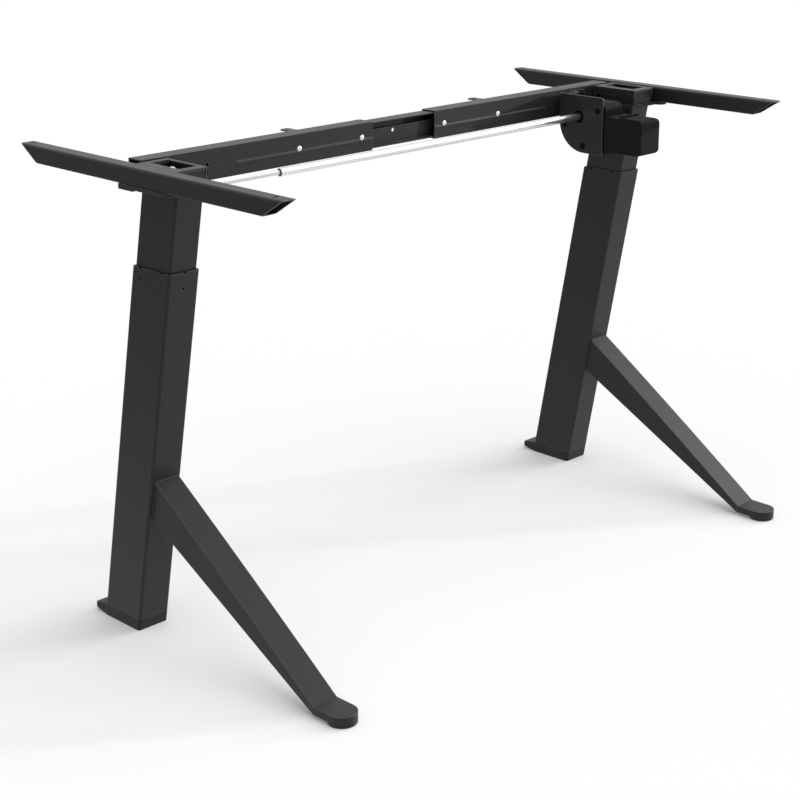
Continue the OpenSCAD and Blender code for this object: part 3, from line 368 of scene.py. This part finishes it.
drawn_zinc = plated("drawn_zinc", (0.93, 0.93, 0.93), 0.28, 0.32, (0.02, 1, 1), relief=0.05)
turned_zinc = plated("turned_zinc", (0.86, 0.86, 0.86), 0.22, 0.34, (1, 1, 1))
cream_zinc = plated("cream_zinc", (0.97, 0.95, 0.90), 0.34, 0.42, (1, 1, 1))
# zinc darkened to near black for the plate bolts, where nothing bright shows
darkened_zinc = plated("darkened_zinc", (0.020, 0.020, 0.021), 0.42, 0.52, (1, 1, 1))
turned_brass = plated("turned_brass", (0.72, 0.55, 0.27), 0.20, 0.36, (1, 1, 0.1))
print("made", drawn_zinc.name, turned_zinc.name, cream_zinc.name, darkened_zinc.name, turned_brass.name)

# %% [markdown]
# ## Dress the CAD parts
# Each node has one of the record's material slots. A table turns that slot into a finish, and a second
# small table names the few nodes whose finish differs from the rest of their slot.

# %% Give every node its finish
FINISH = {
    "powder_coat": coat,
    "black_plastic": black_plastic,
    "zinc_steel": turned_zinc,
    "brass": turned_brass,
    "gear_nylon": gear_nylon,
}
SPECIAL = {
    "drive_tube": drawn_zinc,
    "drive_rod": drawn_zinc,
    "right_shaft": drawn_zinc,
    # bushes and upper liners wear the near-black painted shade, so they read as gaps
    "tube_bush": gap_shade_black,
    "shaft_bush": gap_shade_black,
    "left_glide": glide_rubber,
    "right_glide": glide_rubber,
    "left_upper_liner": gap_shade_black,
    "right_upper_liner": gap_shade_black,
    "gearbox_housing": motor_plastic,
    "motor_body": motor_plastic,
    "motor_cover": motor_plastic,
}


def slot_of(node):
    """The record's material slot of a node."""
    for part in frame["record"]["subparts"]:
        if part["node"] == node:
            return part["material_slot"]
    raise ValueError(node)


def wear(obj, material):
    """Give an object one material and no other."""
    obj.data.materials.clear()
    obj.data.materials.append(material)


for node, obj in frame["nodes"].items():
    wear(obj, SPECIAL.get(node, FINISH[slot_of(node)]))
print("dressed", len(frame["nodes"]), "nodes")

# %% [markdown]
# ## Small forms
# The rest are small forms that a CAD solid leaves out: domed screw heads, threads, weld beads and plugs.
# Most are turned parts, so one helper spins a half outline about an axis. Each piece is made straight in
# its place in metres and rides on the body that carries it.

# %% Helpers for new pieces
LEAN = math.radians(10.42)
COLUMN_X = {"left": -490.85 * MM, "right": 478.85 * MM}
FOOT_Y = 151.15 * MM
TO_FRONT = Matrix.Rotation(math.radians(90), 4, "X")
TO_LEFT = Matrix.Rotation(math.radians(-90), 4, "Y")


def turned(bm, half_outline, place, steps=40):
    """Spin an outline of (radius, height) points in mm about the local Z axis, then put it in place."""
    points = [bm.verts.new((radius * MM, 0, height * MM)) for radius, height in half_outline]
    edges = [bm.edges.new(pair) for pair in zip(points, points[1:])]
    before = set(bm.verts) - set(points)
    bmesh.ops.spin(bm, geom=points + edges, cent=(0, 0, 0), axis=(0, 0, 1), dvec=(0, 0, 0),
                   angle=math.radians(360), steps=steps, use_merge=True, use_duplicate=False)
    new = [v for v in bm.verts if v not in before]
    bmesh.ops.transform(bm, matrix=place, verts=new)


def new_piece(name, bm, finish, body, slot, *nodes, smooth=35, merge=0.01):
    """Turn a bmesh into an object that rides on a body, perhaps in place of CAD nodes."""
    bmesh.ops.remove_doubles(bm, verts=bm.verts, dist=merge * MM)
    bmesh.ops.recalc_face_normals(bm, faces=bm.faces)
    for edge in bm.edges:
        edge.smooth = len(edge.link_faces) == 2 and edge.calc_face_angle(0) < math.radians(smooth)
    for face in bm.faces:
        face.smooth = True
    mesh = bpy.data.meshes.new(name)
    bm.to_mesh(mesh)
    bm.free()
    obj = bpy.data.objects.new(name, mesh)
    bpy.context.scene.collection.objects.link(obj)
    wear(obj, finish)
    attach(obj, body)
    if nodes:
        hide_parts(*nodes)
    print(name, len(mesh.polygons), "faces on", body)
    return obj


def column_front(side, height, depth=80):
    """The point on a column's front face at a height in mm, in the middle of its width."""
    y = FOOT_Y - height * MM * math.tan(LEAN) - depth / 2 * MM / math.cos(LEAN)
    return Vector((COLUMN_X[side], y, height * MM))


# %% [markdown]
# ### Clamp screws
# Two screws a side lock the telescopic rail. Their heads are low domes of cream zinc plate with a small
# rim at the foot, the brightest spots on the frame. A lathe profile gives the dome, the rim and the shank.
# The screws take their places from the corners of the CAD node that they replace.

# %% Turn the clamp screws
HEAD_R = 4.3
HEAD_H = 2.2
SHANK_R = 2.5

for side in ("left", "right"):
    low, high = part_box(side + "_rail_screws")
    shank = (high[1] - low[1]) / MM - HEAD_H
    outline = [(0, HEAD_H), (0.9, 2.16), (1.8, 2.02), (2.6, 1.74), (3.3, 1.32), (3.8, 0.86), (4.08, 0.42),
               (HEAD_R - 0.04, 0.34), (HEAD_R, 0.24), (HEAD_R, 0), (SHANK_R, 0), (SHANK_R, 0.5 - shank),
               (SHANK_R - 0.5, -shank), (0, -shank)]
    screws = bmesh.new()
    for x in (low[0] + HEAD_R * MM, high[0] - HEAD_R * MM):
        seat = Vector((x, low[1] + HEAD_H * MM, (low[2] + high[2]) / 2))
        turned(screws, outline, Matrix.Translation(seat) @ TO_FRONT)
    new_piece(side + "_clamp_screws", screws, cream_zinc, side + "_side", "zinc_steel",
              side + "_rail_screws")

# %% [markdown]
# ### Bolts of the motor plate
# Two flange bolts hold the plate's foot on the rail. A hexagon is a cone primitive with six sides and no
# taper. Its edges get a small bevel, and a turned flange and shank finish it. They are zinc steel darkened
# to near black, because nothing bright shows there.

# %% Make the flange bolts
HEX_R = 3.5
HEX_H = 1.7
HEX_MID = 1.35
HEX_BEVEL = 0.25

low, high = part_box("plate_screws")
shank = (high[1] - low[1]) / MM - HEAD_H
bolts = bmesh.new()
for x in (low[0] + HEAD_R * MM, high[0] - HEAD_R * MM):
    place = Matrix.Translation((x, low[1] + HEAD_H * MM, (low[2] + high[2]) / 2)) @ TO_FRONT
    hexagon = bmesh.ops.create_cone(bolts, cap_ends=True, segments=6, radius1=HEX_R * MM,
                                    radius2=HEX_R * MM, depth=HEX_H * MM,
                                    matrix=place @ Matrix.Translation((0, 0, HEX_MID * MM)))
    rims = [e for e in bolts.edges if e.is_valid and all(v in hexagon["verts"] for v in e.verts)]
    bmesh.ops.bevel(bolts, geom=rims, offset=HEX_BEVEL * MM, affect="EDGES", segments=2, profile=0.5,
                    material=-1)
    turned(bolts, [(0, 0.5), (3.9, 0.5), (HEAD_R, 0.25), (HEAD_R, 0), (SHANK_R, 0), (SHANK_R, 0.5 - shank),
                   (SHANK_R - 0.5, -shank), (0, -shank)], place)
new_piece("plate_bolts", bolts, darkened_zinc, "right_side", "zinc_steel", "plate_screws")

# %% [markdown]
# ### Lift spindles
# Each spindle is a 12 mm screw with a 6 mm lead inside the column. The thread is one tooth outline that a
# spin carries round and up at the same time, which is what the spin operator's step along the axis is for.
# Below the gear the spindle is plain: a thrust collar and a journal. Its place is the joint it turns on.

# %% Cut the spindle threads
THREAD_LEAD = 6
THREAD_STEPS = 20
THREAD_LOW = -539.5
THREAD_TURNS = 82
ROOT_R = 5.1
CREST_R = 5.98
COLLAR_R = 8
COLLAR_LOW = -45.3
COLLAR_TOP = -42.3
JOURNAL_R = 5
JOURNAL_TOP = -9.8
JOURNAL_EDGE = 0.5
APEX_HEIGHT = 655.7

for side in ("left", "right"):
    apex = Vector((COLUMN_X[side], FOOT_Y - APEX_HEIGHT * MM * math.tan(LEAN), APEX_HEIGHT * MM))
    along = Matrix.Translation(apex) @ Matrix.Rotation(LEAN, 4, "X")
    spindle = bmesh.new()
    tooth = [(ROOT_R, 0), (ROOT_R, 1.9), (CREST_R, 2.6), (CREST_R, 5.3), (ROOT_R, 6)]
    points = [spindle.verts.new((r * MM, 0, (THREAD_LOW + h) * MM)) for r, h in tooth]
    edges = [spindle.edges.new(pair) for pair in zip(points, points[1:])]
    bmesh.ops.spin(spindle, geom=points + edges, cent=(0, 0, 0), axis=(0, 0, 1),
                   dvec=(0, 0, THREAD_LEAD * MM / THREAD_STEPS), angle=math.radians(360 * THREAD_TURNS),
                   steps=THREAD_STEPS * THREAD_TURNS, use_merge=False, use_duplicate=False)
    bmesh.ops.transform(spindle, matrix=along, verts=spindle.verts)
    top = THREAD_LOW + THREAD_LEAD * THREAD_TURNS
    core = ROOT_R - 0.1
    turned(spindle, [(0, THREAD_LOW + 0.4), (core, THREAD_LOW + 0.4), (core, top), (CREST_R, top),
                     (CREST_R, COLLAR_LOW), (COLLAR_R, COLLAR_LOW), (COLLAR_R, COLLAR_TOP),
                     (JOURNAL_R, COLLAR_TOP), (JOURNAL_R, JOURNAL_TOP - JOURNAL_EDGE),
                     (JOURNAL_R - JOURNAL_EDGE, JOURNAL_TOP), (0, JOURNAL_TOP)], along)
    new_piece(side + "_threaded_spindle", spindle, turned_zinc, side + "_lift_screw", "zinc_steel",
              side + "_spindle", merge=0.001)

# %% [markdown]
# ### Weld beads
# Braces and rail tabs are welded on before painting, so the beads have the same coat. A bead is a row of
# overlapping round drops, each laid a little after the last, which is how a torch lays them.

# %% Lay the weld beads
DROP_STEP = 1.5


def lay_bead(bm, start, end, radius):
    """A row of overlapping drops from start to end, with radius in mm."""
    count = max(2, round((end - start).length / (DROP_STEP * MM)))
    for i in range(count + 1):
        swell = 1 + 0.08 * math.sin(2.4 * i)
        place = Matrix.Translation(start.lerp(end, i / count)) @ Matrix.Scale(swell * radius * MM, 4)
        bmesh.ops.create_uvsphere(bm, u_segments=10, v_segments=6, radius=1, matrix=place)


BRACE_HALF = 20.2
BRACE_TOP = 240.2
BRACE_FOOT = 184
SIDE_BEAD_R = 1.0
TOP_BEAD_R = 0.9
TAB_BEAD_R = 1.3
TAB_INSET = 1.5

for side in ("left", "right"):
    beads = bmesh.new()
    for across in (-BRACE_HALF, BRACE_HALF):
        shift = Vector((across * MM, 0, 0))
        lay_bead(beads, column_front(side, BRACE_FOOT) + shift,
                 column_front(side, BRACE_TOP - DROP_STEP) + shift, SIDE_BEAD_R)
    half = Vector((BRACE_HALF * MM, 0, 0))
    lay_bead(beads, column_front(side, BRACE_TOP) - half, column_front(side, BRACE_TOP) + half, TOP_BEAD_R)
    new_piece(side + "_brace_welds", beads, coat, side + "_leg", "powder_coat", merge=0.0001, smooth=80)

    low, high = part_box(side + "_rail_tab")
    beads = bmesh.new()
    foot = Vector((low[0] + TAB_INSET * MM, low[1] + 1.2 * MM, low[2]))
    lay_bead(beads, foot, Vector((high[0] - TAB_INSET * MM, foot.y, foot.z)), TAB_BEAD_R)
    new_piece(side + "_tab_weld", beads, coat, side + "_side", "powder_coat", merge=0.0001, smooth=80)

# %% [markdown]
# ### Left head
# The left head plate runs on to its side arm, and a ground weld fills the groove along the arm's rounded
# corner. In the window stands a black post with a bright cap screw on top, seen as one white spot.

# %% Fill the seam and set the cap screw
plate_low, plate_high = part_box("left_head_frame")
seam = bmesh.new()
SEAM_W = 3.4
SEAM_H = 2.6
middle = Vector((plate_low[0] - SEAM_W / 2 * MM + 0.6 * MM, (plate_low[1] + plate_high[1]) / 2,
                 plate_high[2] - SEAM_H / 2 * MM - 0.02 * MM))
length = plate_high[1] - plate_low[1]
bmesh.ops.create_cube(seam, size=1, matrix=Matrix.Translation(middle) @ Matrix.Diagonal(
    (SEAM_W * MM, length, SEAM_H * MM, 1)))
bmesh.ops.bevel(seam, geom=[e for e in seam.edges if abs(e.verts[0].co.y - e.verts[1].co.y) > length / 2],
                offset=0.5 * MM, affect="EDGES", segments=3, profile=0.5, material=-1)
new_piece("left_head_seam", seam, coat, "left_side", "powder_coat")

CAP_AT = Vector((-491.8 * MM, FOOT_Y - 122.5 * MM, 688.6 * MM))
POST_FOOT = 662
post = bmesh.new()
down = POST_FOOT - CAP_AT.z / MM
turned(post, [(0, 0), (4.6, 0), (5.2, -0.6), (5.2, down), (0, down)], Matrix.Translation(CAP_AT))
new_piece("left_cap_post", post, black_plastic, "left_side", "black_plastic")
cap = bmesh.new()
turned(cap, [(0, 2.4), (1.6, 2.3), (3.0, 1.9), (4.0, 1.2), (4.6, 0.4), (4.6, 0), (0, 0)],
       Matrix.Translation(CAP_AT))
new_piece("left_cap_screw", cap, cream_zinc, "left_side", "zinc_steel")

# %% [markdown]
# ### Motor plate
# Three dished black plugs sit in the plate's holes over the gearbox pins. They are lathe parts as well,
# turned so that their faces look left, and painted near black as the shade inside a hole, so they read as
# holes.

# %% Press in the plugs
PLUG_R = 5.4
plate_low, plate_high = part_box("motor_plate")
DRIVE_Y = FOOT_Y - APEX_HEIGHT * MM * math.tan(LEAN)
# near-black plugs stand in for the painted shade inside the plate's holes
hole_shade_plugs = bmesh.new()
for y, z in ((29.9, -15.5), (-39.3, 13.3), (-9.3, -48.5)):
    seat = Vector((plate_low[0], DRIVE_Y + y * MM, (APEX_HEIGHT + z) * MM))
    turned(hole_shade_plugs, [(0, -0.3), (3.4, -0.3), (3.9, 0.35), (4.6, 0.5), (PLUG_R - 0.15, 0.35), (PLUG_R, 0),
                   (3.3, -0.1), (3.3, -0.8), (0, -0.8)], Matrix.Translation(seat) @ TO_LEFT)
new_piece("plate_hole_shade_plugs", hole_shade_plugs, gap_shade_black, "right_side", "black_plastic")
